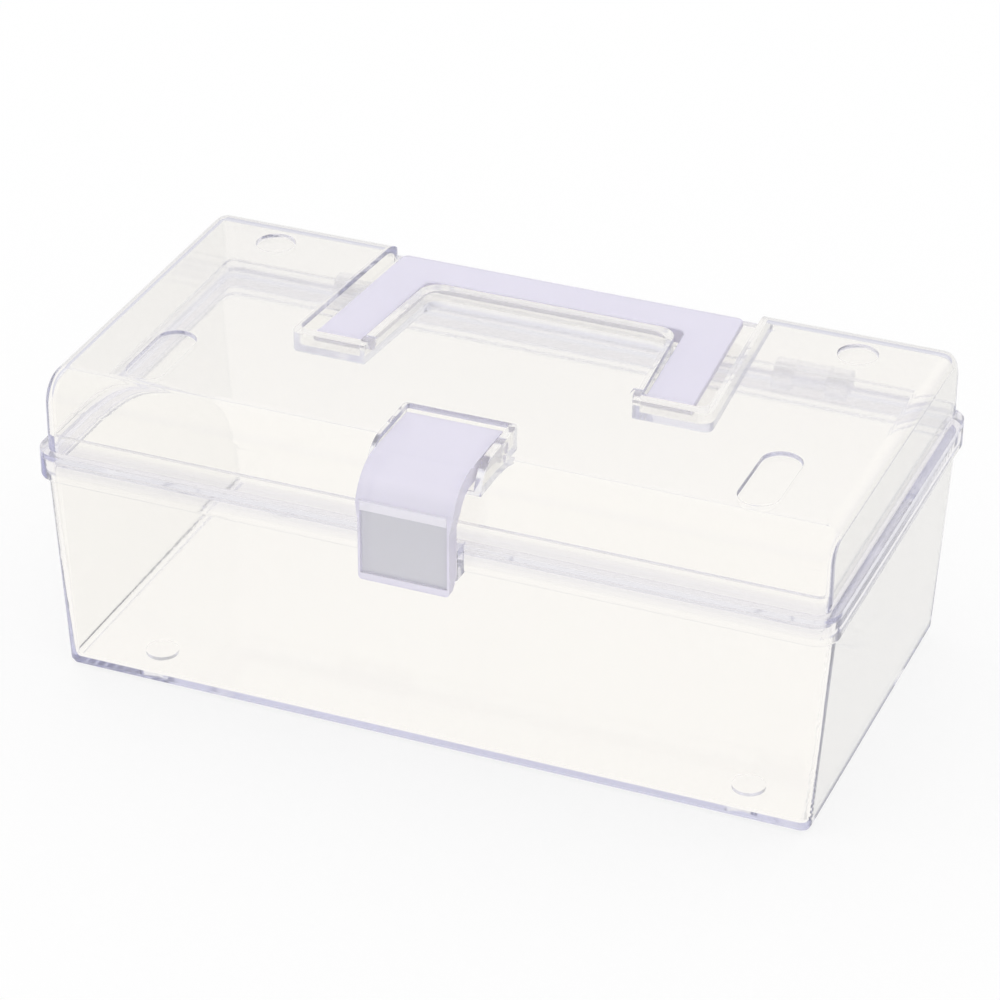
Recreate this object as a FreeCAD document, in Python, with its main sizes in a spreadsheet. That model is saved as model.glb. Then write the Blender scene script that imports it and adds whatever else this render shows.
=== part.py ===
import FreeCAD, Part
import math
import os

import Sketcher

# A clear storage box with a hinged lid, a swing handle and a front latch.
# Millimetres. +Z is up, +X is the right end and -Y the front, where the latch is.
# The origin is the centre of the rim in plan, on the surface that the feet rest on.

os.makedirs("parts", exist_ok=True)

doc = FreeCAD.newDocument("StorageBox")

# Driving sizes

DRIVING_SIZES = {
    # Tub
    "rimLength": 270.0,
    "rimWidth": 142.0,
    "rimHeight": 8.0,
    "rimCornerRound": 8.0,
    "rimEdgeRound": 1.2,
    "rimStepEnd": 1.9,
    "rimStepSide": 2.45,
    "sideHeight": 71.4,
    "endTaper": 4.5,
    "sideTaper": 2.75,
    "tubWall": 2.0,
    "tubFloor": 2.2,
    "tubBottomCorner": 3.0,
    "tubTopCorner": 7.0,
    "bottomEdgeRound": 1.8,
    "footHeight": 1.2,
    "footRadius": 5.5,
    "footInsetEnd": 25.6,
    "footInsetSide": 18.8,
    # Lid
    "lidHeight": 28.4,
    "seatGap": 0.05,
    "flangeThickness": 1.9,
    "lidStepEnd": 3.0,
    "lidStepSide": 2.85,
    "lidWall": 2.0,
    "lidTop": 2.6,
    "lidEndRound": 4.8,
    "lidLongRound": 10.8,
    "lipDepth": 3.2,
    "lipRise": 6.9,
    "lipThickness": 1.9,
    "lipClearance": 0.3,
    "lipInnerCorner": 2.0,
    "markDepth": 1.2,
    "markClearance": 1.25,
    "markFloorRound": 0.6,
    "slotLength": 34.5,
    "slotShift": 7.6,
    # Handle and its channel in the lid
    "gripWidth": 121.2,
    "gripDepth": 15.2,
    "gripBackInset": 9.65,
    "gripDrop": 1.4,
    "gripPlate": 2.0,
    "gripRib": 2.0,
    "gripRibDepth": 5.0,
    "gripInnerBack": 91.2,
    "gripInnerFront": 97.8,
    "gripOuterFront": 130.0,
    "gripCornerRound": 2.5,
    "gripInnerRound": 3.5,
    "gripEdgeRound": 0.5,
    "armPivotSetback": 2.2,
    "armBarRadius": 2.5,
    "armPinRadius": 2.3,
    "armPinLength": 3.7,
    "channelDepth": 7.3,
    "channelFrontGap": 0.8,
    "channelBackGap": 5.0,
    "channelSideGap": 5.6,
    "channelInnerGap": 0.7,
    "channelPlatformGap": 2.8,
    "channelPlatformSide": 1.6,
    "channelCornerRound": 3.0,
    "platformCornerRound": 7.0,
    "shoulderRound": 4.5,
    "trayWall": 2.0,
    "pivotClearance": 0.08,
    # Latch and its pocket in the lid
    "latchWidth": 32.4,
    "latchWaistStep": 0.9,
    "latchWaistRise": 11.4,
    "latchShoulderRise": 16.4,
    "latchPlate": 2.0,
    "latchSide": 2.8,
    "latchDrop": 1.1,
    "latchBackInset": 29.1,
    "latchClearance": 0.3,
    "latchBend": 15.0,
    "latchFlange": 5.9,
    "latchHang": 10.6,
    "latchBevel": 4.5,
    "latchLip": 1.8,
    "latchPivotInset": 25.0,
    "latchPivotDrop": 6.0,
    "latchEarRadius": 2.5,
    "latchPinRadius": 1.9,
    "latchPinLength": 2.9,
    "panelMargin": 2.4,
    "panelHeight": 22.4,
    "panelSide": 0.8,
    "panelDepth": 0.8,
    "ridgeHeight": 3.2,
    "ridgeStand": 0.5,
    "pocketSideGap": 1.1,
    "pocketBackGap": 3.6,
    "pocketDepth": 8.7,
    "pocketCornerRound": 1.5,
    # Keeper that the latch closes over
    "keeperStand": 5.4,
    "keeperCap": 2.7,
    # Back hinge
    "hingeOffset": 5.4,
    "hingeSpacing": 160.0,
    "barrelRadius": 3.8,
    "tubBarrel": 7.0,
    "lidBarrel": 11.4,
    "barrelGap": 0.3,
    "pinRadius": 1.5,
    "pinChamfer": 0.3,
}

sizes = doc.addObject("Spreadsheet::Sheet", "Sizes")
for row, (alias, value) in enumerate(DRIVING_SIZES.items(), start=1):
    sizes.set(f"A{row}", alias)
    sizes.set(f"B{row}", str(value))
    sizes.setAlias(f"B{row}", alias)
doc.recompute()


# Places that several pieces share, worked out from the driving sizes

HALF_LENGTH = "(Sizes.rimLength / 2)"
HALF_WIDTH = "(Sizes.rimWidth / 2)"
RIM_BOTTOM = "(Sizes.footHeight + Sizes.sideHeight)"
PARTING = f"({RIM_BOTTOM} + Sizes.rimHeight)"
TUB_LENGTH = "(Sizes.rimLength - 2 * Sizes.rimStepEnd)"
TUB_WIDTH = "(Sizes.rimWidth - 2 * Sizes.rimStepSide)"
END_SLOPE = "(Sizes.endTaper / Sizes.sideHeight)"
SIDE_SLOPE = "(Sizes.sideTaper / Sizes.sideHeight)"
MOUTH_LENGTH = f"({TUB_LENGTH} - 2 * Sizes.tubWall + 2 * {END_SLOPE} * Sizes.rimHeight)"
MOUTH_WIDTH = f"({TUB_WIDTH} - 2 * Sizes.tubWall + 2 * {SIDE_SLOPE} * Sizes.rimHeight)"
FOOT_X = f"({HALF_LENGTH} - Sizes.endTaper - Sizes.rimStepEnd - Sizes.footInsetEnd)"
FOOT_Y = f"({HALF_WIDTH} - Sizes.sideTaper - Sizes.rimStepSide - Sizes.footInsetSide)"

LID_SEAT = f"({PARTING} + Sizes.seatGap)"
LID_TOP = f"({PARTING} + Sizes.lidHeight)"
LID_LENGTH = "(Sizes.rimLength - 2 * Sizes.lidStepEnd)"
LID_WIDTH = "(Sizes.rimWidth - 2 * Sizes.lidStepSide)"
LID_SIDE = f"({LID_WIDTH} / 2)"

GRIP_TOP = f"({LID_TOP} - Sizes.gripDrop)"
GRIP_BACK = f"({LID_SIDE} - Sizes.gripBackInset)"
GRIP_FRONT = f"({GRIP_BACK} - Sizes.gripDepth)"
ARM_PIVOT_Y = "(0 - Sizes.armPivotSetback)"
ARM_PIVOT_Z = f"({GRIP_TOP} - Sizes.armBarRadius)"
CHANNEL_FLOOR = f"({LID_TOP} - Sizes.channelDepth)"
CHANNEL_FRONT = f"({ARM_PIVOT_Y} - Sizes.armBarRadius - Sizes.channelFrontGap)"
CHANNEL_INNER_FRONT = "(Sizes.gripInnerFront / 2 - Sizes.channelInnerGap)"
CHANNEL_INNER_BACK = "(Sizes.gripInnerBack / 2 - Sizes.channelPlatformSide)"
CHANNEL_OUTER_FRONT = "(Sizes.gripOuterFront / 2 + Sizes.channelSideGap)"
CHANNEL_OUTER_BACK = "(Sizes.gripWidth / 2 + Sizes.channelBackGap)"
PLATFORM_BACK = f"({GRIP_FRONT} - Sizes.channelPlatformGap)"

LATCH_LOWER_WIDTH = "(Sizes.latchWidth - 2 * Sizes.latchWaistStep)"
PANEL_WIDTH = f"({LATCH_LOWER_WIDTH} - 2 * Sizes.panelSide)"
LATCH_TOP = f"({LID_TOP} - Sizes.latchDrop)"
LATCH_BACK = f"(0 - {HALF_WIDTH} + Sizes.latchBackInset)"
LATCH_FACE = (
    f"(0 - {HALF_WIDTH} - Sizes.keeperStand - Sizes.latchClearance - Sizes.latchFlange)"
)
LATCH_FOOT = f"({PARTING} - Sizes.latchHang)"
PANEL_BOTTOM = f"({LATCH_FOOT} + Sizes.panelMargin)"
LATCH_INNER = f"({LATCH_FACE} + Sizes.latchFlange)"
LATCH_PIVOT_Y = f"(0 - {HALF_WIDTH} + Sizes.latchPivotInset)"
LATCH_PIVOT_Z = f"({LID_TOP} - Sizes.latchPivotDrop)"
POCKET_WIDTH = "(Sizes.latchWidth + 2 * Sizes.pocketSideGap)"
POCKET_FLOOR = f"({LID_TOP} - Sizes.pocketDepth)"
POCKET_BACK = f"({LATCH_BACK} + Sizes.pocketBackGap)"

HINGE_Y = f"({HALF_WIDTH} + Sizes.hingeOffset)"
BARREL_REACH = "(Sizes.lidBarrel / 2 + Sizes.barrelGap)"


# A ruler that reads an expression's value, so that sketches start near their final shape

ruler = doc.addObject("App::FeaturePython", "Ruler")
ruler.addProperty("App::PropertyFloat", "Reading")


def reading(expression):
    """Return the value of an expression of the driving sizes."""
    ruler.setExpression("Reading", expression)
    ruler.recompute()
    return ruler.Reading


# Helpers for sketches and features

def plane_of(body, role):
    """Return the body's own origin plane with this role, such as XY_Plane."""
    return [item for item in body.Origin.OriginFeatures if item.Role == role][0]


def sketch_on(body, name, role, offset):
    """Add a sketch on an origin plane, moved along the plane's normal by an expression."""
    sketch = body.newObject("Sketcher::SketchObject", name)
    sketch.AttachmentSupport = [(plane_of(body, role), "")]
    sketch.MapMode = "FlatFace"
    sketch.setExpression("AttachmentOffset.Base.z", offset)
    return sketch


def point_at(x, y):
    """Return the point at x and y, both expressions."""
    return FreeCAD.Vector(reading(x), reading(y), 0)


def pin_point(sketch, shape_index, point, x, y):
    """Fix one point of a sketch at x and y, both expressions."""
    for kind, place in (("DistanceX", x), ("DistanceY", y)):
        rule = Sketcher.Constraint(kind, shape_index, point, reading(place))
        index = sketch.addConstraint(rule)
        sketch.setExpression(f"Constraints[{index}]", place)


def polygon(body, name, role, offset, corners):
    """Draw a closed polygon whose corners are pairs of expressions."""
    sketch = sketch_on(body, name, role, offset)
    count = len(corners)
    ring = [point_at(x, y) for x, y in corners]
    for index in range(count):
        sketch.addGeometry(Part.LineSegment(ring[index], ring[(index + 1) % count]), False)
    for index in range(count):
        joint = Sketcher.Constraint("Coincident", index, 2, (index + 1) % count, 1)
        sketch.addConstraint(joint)
    for index, (x, y) in enumerate(corners):
        pin_point(sketch, index, 1, x, y)
    return sketch


def circles(body, name, role, offset, centres, radius):
    """Draw circles of one radius, each centre a pair of expressions."""
    sketch = sketch_on(body, name, role, offset)
    size = reading(radius)
    for index, (x, y) in enumerate(centres):
        ring = Part.Circle(point_at(x, y), FreeCAD.Vector(0, 0, 1), size)
        sketch.addGeometry(ring, False)
        pin_point(sketch, index, 3, x, y)
        rule = sketch.addConstraint(Sketcher.Constraint("Radius", index, size))
        sketch.setExpression(f"Constraints[{rule}]", radius)
    return sketch


def rounded_rectangle(body, name, offset, length, width, radius):
    """Draw a rectangle with round corners, centred on the origin, in a level plane."""
    sketch = sketch_on(body, name, "XY_Plane", offset)
    run = f"({length} / 2 - ({radius}))"
    depth = f"({width} / 2 - ({radius}))"
    ends = {
        "front": ((f"0 - {run}", f"0 - {width} / 2"), (run, f"0 - {width} / 2")),
        "right": ((f"{length} / 2", f"0 - {depth}"), (f"{length} / 2", depth)),
        "back": ((run, f"{width} / 2"), (f"0 - {run}", f"{width} / 2")),
        "left": ((f"0 - {length} / 2", depth), (f"0 - {length} / 2", f"0 - {depth}")),
    }
    for index, (start, end) in enumerate(ends.values()):
        sketch.addGeometry(Part.LineSegment(point_at(*start), point_at(*end)), False)
        pin_point(sketch, index, 1, *start)
        pin_point(sketch, index, 2, *end)
    centres = ((run, f"0 - {depth}"), (run, depth), (f"0 - {run}", depth))
    centres += ((f"0 - {run}", f"0 - {depth}"),)
    quarter = math.pi / 2
    for index, centre in enumerate(centres):
        circle = Part.Circle(point_at(*centre), FreeCAD.Vector(0, 0, 1), reading(radius))
        begin = (index - 1) * quarter
        arc = sketch.addGeometry(Part.ArcOfCircle(circle, begin, begin + quarter), False)
        after = (index + 1) % 4
        sketch.addConstraint(Sketcher.Constraint("Coincident", arc, 1, index, 2))
        sketch.addConstraint(Sketcher.Constraint("Coincident", arc, 2, after, 1))
        rule = sketch.addConstraint(Sketcher.Constraint("Radius", arc, reading(radius)))
        sketch.setExpression(f"Constraints[{rule}]", radius)
    return sketch


def extrude(body, kind, name, sketch, length, midplane=False, reverse=False):
    """Add a Pad or a Pocket of a sketch, its length an expression."""
    feature = body.newObject(f"PartDesign::{kind}", name)
    feature.Profile = sketch
    feature.Midplane = midplane
    feature.Reversed = reverse
    feature.setExpression("Length", length)
    doc.recompute()
    return feature


def tapered_block(body, name, levels, bottom, corners):
    """Add a block with the tub's draft whose bottom edge is rounded in three straight steps.

    levels are the bottom and top heights, bottom the length and width that the drafted
    sides would have at the bottom, and corners the plan radii at the bottom and the top.
    """
    low, high = levels
    length, width = bottom
    steps = [(1.0, 0.0), (0.293, 0.293), (0.0, 1.0)]
    sections = []
    for index, (inset, rise) in enumerate(steps):
        grow_x = f"2 * {END_SLOPE} * {rise} * Sizes.bottomEdgeRound"
        grow_y = f"2 * {SIDE_SLOPE} * {rise} * Sizes.bottomEdgeRound"
        shrink = f"2 * {inset} * Sizes.bottomEdgeRound"
        sections.append(
            rounded_rectangle(
                body,
                f"{name}Step{index}",
                f"{low} + {rise} * Sizes.bottomEdgeRound",
                f"({length} + {grow_x} - {shrink})",
                f"({width} + {grow_y} - {shrink})",
                f"{corners[0]} - {inset} * Sizes.bottomEdgeRound / 2",
            )
        )
    run = f"({high} - {low})"
    sections.append(
        rounded_rectangle(
            body,
            f"{name}Top",
            high,
            f"({length} + 2 * {END_SLOPE} * {run})",
            f"({width} + 2 * {SIDE_SLOPE} * {run})",
            corners[1],
        )
    )
    feature = body.newObject("PartDesign::AdditiveLoft", name)
    feature.Profile = sections[0]
    feature.Sections = sections[1:]
    feature.Ruled = True
    doc.recompute()
    return feature


def middle(edge):
    """Return the point half way along an edge."""
    return edge.valueAt((edge.FirstParameter + edge.LastParameter) / 2)


def is_straight(edge, direction):
    """Say whether an edge is a straight line along X, Y or Z, give or take a draft."""
    if len(edge.Vertexes) < 2:
        return False
    run = edge.Vertexes[1].Point - edge.Vertexes[0].Point
    if edge.Length > 1.0001 * run.Length:
        return False
    return abs(getattr(run, direction)) > 0.9 * run.Length


def dress(body, kind, name, amount, wanted):
    """Fillet or chamfer each edge of the body's last feature that the test accepts."""
    base = body.Tip
    names = [
        f"Edge{index}"
        for index, edge in enumerate(base.Shape.Edges, start=1)
        if wanted(edge)
    ]
    if not names:
        raise ValueError(f"{name} found no edges")
    feature = body.newObject(f"PartDesign::{kind}", name)
    feature.Base = (base, names)
    feature.setExpression("Radius" if kind == "Fillet" else "Size", amount)
    doc.recompute()
    return feature


def new_body(name):
    """Add a body that becomes a sub-part or one of its solids."""
    return doc.addObject("PartDesign::Body", name)


def joined(kind, name, shapes):
    """Add a Part boolean of several shapes: MultiFuse or MultiCommon."""
    feature = doc.addObject(f"Part::{kind}", name)
    feature.Shapes = shapes
    doc.recompute()
    return feature


def cut(name, base, tool):
    """Add a Part::Cut of one shape by another."""
    feature = doc.addObject("Part::Cut", name)
    feature.Base = base
    feature.Tool = tool
    doc.recompute()
    return feature


def close_to(value, wanted):
    """Say whether two lengths are the same to a hundredth of a millimetre."""
    return abs(value - wanted) < 0.01


# The same places as numbers, used only to find edges

HALF_LENGTH_MM = reading(HALF_LENGTH)
HALF_WIDTH_MM = reading(HALF_WIDTH)
LID_SIDE_MM = reading(LID_SIDE)
LID_END_MM = reading(f"{LID_LENGTH} / 2")

# The sign that each side puts before an X place
SIDES = {"left": "0 - ", "right": "0 + "}


# Tub

def build_tub():
    """The lower box: tapered walls, a square rim, four feet, the keeper and hinge ears."""
    body = new_body("TubBody")
    bottom_length = f"({TUB_LENGTH} - 2 * Sizes.endTaper)"
    bottom_width = f"({TUB_WIDTH} - 2 * Sizes.sideTaper)"
    tapered_block(
        body,
        "TubSides",
        ("Sizes.footHeight", RIM_BOTTOM),
        (bottom_length, bottom_width),
        ("Sizes.tubBottomCorner", "Sizes.tubTopCorner"),
    )
    rim = rounded_rectangle(
        body,
        "RimOutline",
        RIM_BOTTOM,
        "Sizes.rimLength",
        "Sizes.rimWidth",
        "Sizes.rimCornerRound",
    )
    extrude(body, "Pad", "Rim", rim, "Sizes.rimHeight")
    rim_level = reading(RIM_BOTTOM)
    dress(
        body,
        "Fillet",
        "RimLowerEdge",
        "Sizes.rimEdgeRound",
        lambda edge: close_to(edge.BoundBox.ZMax, rim_level) and on_rim_outline(edge),
    )
    inner_low = "(Sizes.footHeight + Sizes.tubFloor)"
    floor_length = f"({bottom_length} - 2 * Sizes.tubWall + 2 * {END_SLOPE} * Sizes.tubFloor)"
    floor_width = f"({bottom_width} - 2 * Sizes.tubWall + 2 * {SIDE_SLOPE} * Sizes.tubFloor)"
    inside = new_body("TubSpace")
    tapered_block(
        inside,
        "TubInside",
        (inner_low, f"({PARTING} + Sizes.lipDepth)"),
        (floor_length, floor_width),
        ("Sizes.tubBottomCorner - Sizes.tubWall / 2", "Sizes.tubTopCorner - Sizes.tubWall"),
    )
    feet = circles(
        body,
        "FootCircles",
        "XY_Plane",
        "0 * Sizes.footHeight",
        [(f"{sx}{FOOT_X}", f"{sy}{FOOT_Y}") for sx in SIDES.values() for sy in SIDES.values()],
        "Sizes.footRadius",
    )
    extrude(body, "Pad", "Feet", feet, "Sizes.footHeight + Sizes.tubFloor / 2")
    keeper = polygon(
        body,
        "KeeperOutline",
        "XY_Plane",
        RIM_BOTTOM,
        keeper_corners(),
    )
    extrude(body, "Pad", "Keeper", keeper, "Sizes.rimHeight")
    dress(
        body,
        "Fillet",
        "KeeperCorners",
        "Sizes.rimEdgeRound / 2",
        lambda edge: is_straight(edge, "z") and middle(edge).y < -HALF_WIDTH_MM - 1,
    )
    for side, sign in SIDES.items():
        for place, shift in (("Inner", "0 - "), ("Outer", "0 + ")):
            start = (
                f"{sign}Sizes.hingeSpacing / 2 + ({shift}({BARREL_REACH} + Sizes.tubBarrel / 2))"
            )
            add_barrel(body, f"Ear{side.title()}{place}", start, "Sizes.tubBarrel", lower_web())
        bore = circles(
            body,
            f"EarBoreCircle{side.title()}",
            "YZ_Plane",
            f"{sign}Sizes.hingeSpacing / 2",
            [(HINGE_Y, PARTING)],
            "Sizes.pinRadius",
        )
        extrude(
            body,
            "Pocket",
            f"EarBore{side.title()}",
            bore,
            f"2 * ({BARREL_REACH} + Sizes.tubBarrel) + 1 * Sizes.barrelGap",
            midplane=True,
        )
    tub = cut("TubCut", body, inside)
    tub.Label = "tub"
    return tub


def on_rim_outline(edge):
    """Say whether an edge lies on the outer outline of the rim."""
    at = middle(edge)
    inset = DRIVING_SIZES["rimStepEnd"] / 2
    corner = DRIVING_SIZES["rimCornerRound"]
    far_x = HALF_LENGTH_MM - abs(at.x)
    far_y = HALF_WIDTH_MM - abs(at.y)
    if far_x < corner and far_y < corner:
        reach = math.hypot(corner - far_x, corner - far_y)
        return reach > corner - inset
    return min(far_x, far_y) < inset


def keeper_corners():
    """The keeper's plan: a block on the front of the rim, as wide as the latch's lower part."""
    front = f"0 - {HALF_WIDTH} - Sizes.keeperStand"
    back = f"0 - {HALF_WIDTH} + Sizes.rimStepSide / 2"
    return [
        (f"0 - {LATCH_LOWER_WIDTH} / 2", front),
        (f"{LATCH_LOWER_WIDTH} / 2", front),
        (f"{LATCH_LOWER_WIDTH} / 2", back),
        (f"0 - {LATCH_LOWER_WIDTH} / 2", back),
    ]


def lower_web():
    """The web from the rim's back face to the lower half of a tub barrel, in Y and Z."""
    near = f"{HALF_WIDTH} - Sizes.rimStepSide / 2"
    low = f"{PARTING} - Sizes.barrelRadius"
    return [(near, low), (HINGE_Y, low), (HINGE_Y, PARTING), (near, PARTING)]


def upper_web():
    """The web from the lid's flange to its barrel, in Y and Z."""
    near = f"{HALF_WIDTH} - Sizes.lidStepSide / 2"
    high = f"{LID_SEAT} + Sizes.flangeThickness"
    return [(near, LID_SEAT), (HINGE_Y, LID_SEAT), (HINGE_Y, high), (near, high)]


def rectangle(length, width):
    """Return the corners of a rectangle centred on the origin, as expressions."""
    return [
        (f"0 - {length} / 2", f"0 - {width} / 2"),
        (f"{length} / 2", f"0 - {width} / 2"),
        (f"{length} / 2", f"{width} / 2"),
        (f"0 - {length} / 2", f"{width} / 2"),
    ]


def add_barrel(body, name, centre_x, length, web):
    """Add one hinge barrel and its web, centred on an X place."""
    outline = polygon(body, f"{name}WebOutline", "YZ_Plane", centre_x, web)
    extrude(body, "Pad", f"{name}Web", outline, length, midplane=True)
    ring = circles(
        body, f"{name}Circle", "YZ_Plane", centre_x, [(HINGE_Y, PARTING)], "Sizes.barrelRadius"
    )
    extrude(body, "Pad", f"{name}Barrel", ring, length, midplane=True)


# Lid

def round_shell_top(body, prefix, half_length, low, long_round, end_round):
    """Round a block's long top edges, then the outlines of its two ends above a level."""
    top = max(edge.BoundBox.ZMax for edge in body.Tip.Shape.Edges)
    dress(
        body,
        "Fillet",
        f"{prefix}LongEdges",
        long_round,
        lambda edge: is_straight(edge, "x") and close_to(middle(edge).z, top),
    )
    dress(
        body,
        "Fillet",
        f"{prefix}EndEdges",
        end_round,
        lambda edge: close_to(abs(middle(edge).x), half_length)
        and edge.BoundBox.XLength < 0.01
        and middle(edge).z > low + 0.01,
    )


def build_lid_block():
    """The lid as a full block: round-topped body, flange, locating lip and keeper cap."""
    body = new_body("LidBlock")
    outline = polygon(
        body, "LidOutline", "XY_Plane", LID_SEAT, rectangle(LID_LENGTH, LID_WIDTH)
    )
    extrude(body, "Pad", "LidPad", outline, f"{LID_TOP} - {LID_SEAT}")
    round_shell_top(
        body, "Lid", LID_END_MM, reading(PARTING), "Sizes.lidLongRound", "Sizes.lidEndRound"
    )
    flange = rounded_rectangle(
        body,
        "FlangeOutline",
        LID_SEAT,
        "Sizes.rimLength",
        "Sizes.rimWidth",
        "Sizes.rimCornerRound",
    )
    extrude(body, "Pad", "Flange", flange, "Sizes.flangeThickness")
    lip_length = f"({MOUTH_LENGTH} - 2 * Sizes.lipClearance - 2 * {END_SLOPE} * Sizes.lipDepth)"
    lip_width = f"({MOUTH_WIDTH} - 2 * Sizes.lipClearance - 2 * {SIDE_SLOPE} * Sizes.lipDepth)"
    lip = rounded_rectangle(
        body, "LipOutline", LID_SEAT, lip_length, lip_width, "Sizes.tubTopCorner - Sizes.tubWall"
    )
    extrude(body, "Pad", "Lip", lip, "Sizes.lipDepth", reverse=True)
    cap = polygon(body, "CapOutline", "XY_Plane", LID_SEAT, keeper_corners())
    extrude(body, "Pad", "KeeperCap", cap, "Sizes.keeperCap")
    dress(
        body,
        "Fillet",
        "CapCorners",
        "Sizes.rimEdgeRound / 2",
        lambda edge: is_straight(edge, "z") and middle(edge).y < -HALF_WIDTH_MM - 1,
    )
    return body


def build_lid_hollow():
    """The space inside the lid: a lower part within the lip and a rounded upper part."""
    body = new_body("LidHollow")
    lip_low = f"{PARTING} - Sizes.lipDepth"
    inner_length = (
        f"({MOUTH_LENGTH} - 2 * Sizes.lipClearance - 2 * Sizes.lipThickness"
        f" - 2 * {END_SLOPE} * Sizes.lipDepth)"
    )
    inner_width = (
        f"({MOUTH_WIDTH} - 2 * Sizes.lipClearance - 2 * Sizes.lipThickness"
        f" - 2 * {SIDE_SLOPE} * Sizes.lipDepth)"
    )
    lower = rounded_rectangle(
        body,
        "LowerHollow",
        f"{lip_low} - 1 * Sizes.lipDepth",
        inner_length,
        inner_width,
        "Sizes.lipInnerCorner",
    )
    extrude(body, "Pad", "LowerSpace", lower, "2 * Sizes.lipDepth + Sizes.lipRise")
    lower_body = body
    body = new_body("LidUpperHollow")
    upper = polygon(
        body,
        "UpperHollow",
        "XY_Plane",
        f"{PARTING} + Sizes.lipRise",
        rectangle(f"({LID_LENGTH} - 2 * Sizes.lidWall)", f"({LID_WIDTH} - 2 * Sizes.lidWall)"),
    )
    extrude(body, "Pad", "UpperSpace", upper, "Sizes.lidHeight - Sizes.lipRise - Sizes.lidTop")
    round_shell_top(
        body,
        "Hollow",
        LID_END_MM - reading("Sizes.lidWall"),
        reading(f"{PARTING} + Sizes.lipRise"),
        "Sizes.lidLongRound - Sizes.lidWall",
        "Sizes.lidEndRound - Sizes.lidWall",
    )
    return joined("MultiFuse", "LidSpace", [lower_body, body])


def channel_corners(grow, back):
    """The plan of the U-shaped channel, widened by an expression, flared at the lid's back."""
    outer_front = f"{CHANNEL_OUTER_FRONT} + {grow}"
    outer_back = f"{CHANNEL_OUTER_BACK} + {grow}"
    inner_front = f"{CHANNEL_INNER_FRONT} - {grow}"
    inner_back = f"{CHANNEL_INNER_BACK} - {grow}"
    front = f"{CHANNEL_FRONT} - {grow}"
    platform = f"{PLATFORM_BACK} - {grow}"
    shoulder = f"{LID_SIDE} - {grow}"
    flare = f"{CHANNEL_OUTER_BACK} + 2 * Sizes.shoulderRound"
    return [
        (f"0 - ({flare})", back),
        (f"0 - ({flare})", shoulder),
        (f"0 - ({outer_back})", shoulder),
        (f"0 - ({outer_front})", front),
        (f"0 - ({inner_front})", front),
        (f"0 - ({inner_back})", platform),
        (inner_back, platform),
        (inner_front, front),
        (outer_front, front),
        (outer_back, shoulder),
        (flare, shoulder),
        (flare, back),
    ]


def build_channel(name, grow, low, high, back):
    """A U-shaped prism for the handle: the channel itself, or the block around it."""
    body = new_body(name)
    plan = polygon(body, f"{name}Plan", "XY_Plane", low, channel_corners(grow, back))
    extrude(body, "Pad", f"{name}Pad", plan, f"{high} - {low}")
    front_y = reading(CHANNEL_FRONT)
    dress(
        body,
        "Fillet",
        f"{name}FrontCorners",
        "Sizes.channelCornerRound",
        lambda edge: is_straight(edge, "z")
        and middle(edge).y < front_y / 2
        and abs(middle(edge).x) > DRIVING_SIZES["gripOuterFront"] / 2,
    )
    grip_back = reading(GRIP_BACK)
    dress(
        body,
        "Fillet",
        f"{name}PlatformCorners",
        "Sizes.platformCornerRound",
        lambda edge: is_straight(edge, "z")
        and 0 < middle(edge).y < grip_back
        and abs(middle(edge).x) < DRIVING_SIZES["gripInnerBack"] / 2,
    )
    shoulder_x = reading(f"{CHANNEL_OUTER_BACK} + {grow}")
    dress(
        body,
        "Fillet",
        f"{name}Shoulders",
        f"Sizes.shoulderRound - {grow}",
        lambda edge: is_straight(edge, "z")
        and middle(edge).y > grip_back
        and close_to(abs(middle(edge).x), shoulder_x),
    )
    return body


def build_pocket(name, grow, low, high):
    """The latch's pocket, or the block around it, open through the front of the lid."""
    body = new_body(name)
    front = f"0 - {LID_SIDE} - Sizes.lidStepSide"
    half = f"({POCKET_WIDTH} / 2 + {grow})"
    back = f"{POCKET_BACK} + {grow}"
    plan = polygon(
        body,
        f"{name}Plan",
        "XY_Plane",
        low,
        [(f"0 - {half}", front), (half, front), (half, back), (f"0 - {half}", back)],
    )
    extrude(body, "Pad", f"{name}Pad", plan, f"{high} - {low}")
    dress(
        body,
        "Fillet",
        f"{name}Corners",
        "Sizes.pocketCornerRound",
        lambda edge: is_straight(edge, "z") and middle(edge).y > -LID_SIDE_MM,
    )
    return body


def build_marks():
    """Round and long shallow seats in the top, where the feet of a stacked box rest."""
    body = new_body("StackMarks")
    level = f"{LID_TOP} - Sizes.markDepth"
    radius = "(Sizes.footRadius + Sizes.markClearance)"
    half_run = f"(Sizes.slotLength / 2 - {radius})"
    slot_y = f"(0 - {FOOT_Y} + Sizes.slotShift)"
    back = [(f"{sign}{FOOT_X}", f"0 + {FOOT_Y}") for sign in SIDES.values()]
    rounds = circles(body, "BackMarks", "XY_Plane", level, back, radius)
    extrude(body, "Pad", "BackSeats", rounds, "2 * Sizes.markDepth")
    for side, sign in SIDES.items():
        slot = polygon(
            body,
            f"SlotOutline{side.title()}",
            "XY_Plane",
            level,
            [
                (f"{sign}{FOOT_X} - {radius}", f"{slot_y} - {half_run} - {radius}"),
                (f"{sign}{FOOT_X} + {radius}", f"{slot_y} - {half_run} - {radius}"),
                (f"{sign}{FOOT_X} + {radius}", f"{slot_y} + {half_run} + {radius}"),
                (f"{sign}{FOOT_X} - {radius}", f"{slot_y} + {half_run} + {radius}"),
            ],
        )
        extrude(body, "Pad", f"FrontSlot{side.title()}", slot, "2 * Sizes.markDepth")
    dress(
        body,
        "Fillet",
        "SlotEnds",
        f"{radius} - Sizes.markDepth / 100",
        lambda edge: is_straight(edge, "z") and middle(edge).y < 0,
    )
    floor = reading(level)
    dress(
        body,
        "Fillet",
        "SeatFloors",
        "Sizes.markFloorRound",
        lambda edge: close_to(edge.BoundBox.ZMax, floor),
    )
    return body


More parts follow.
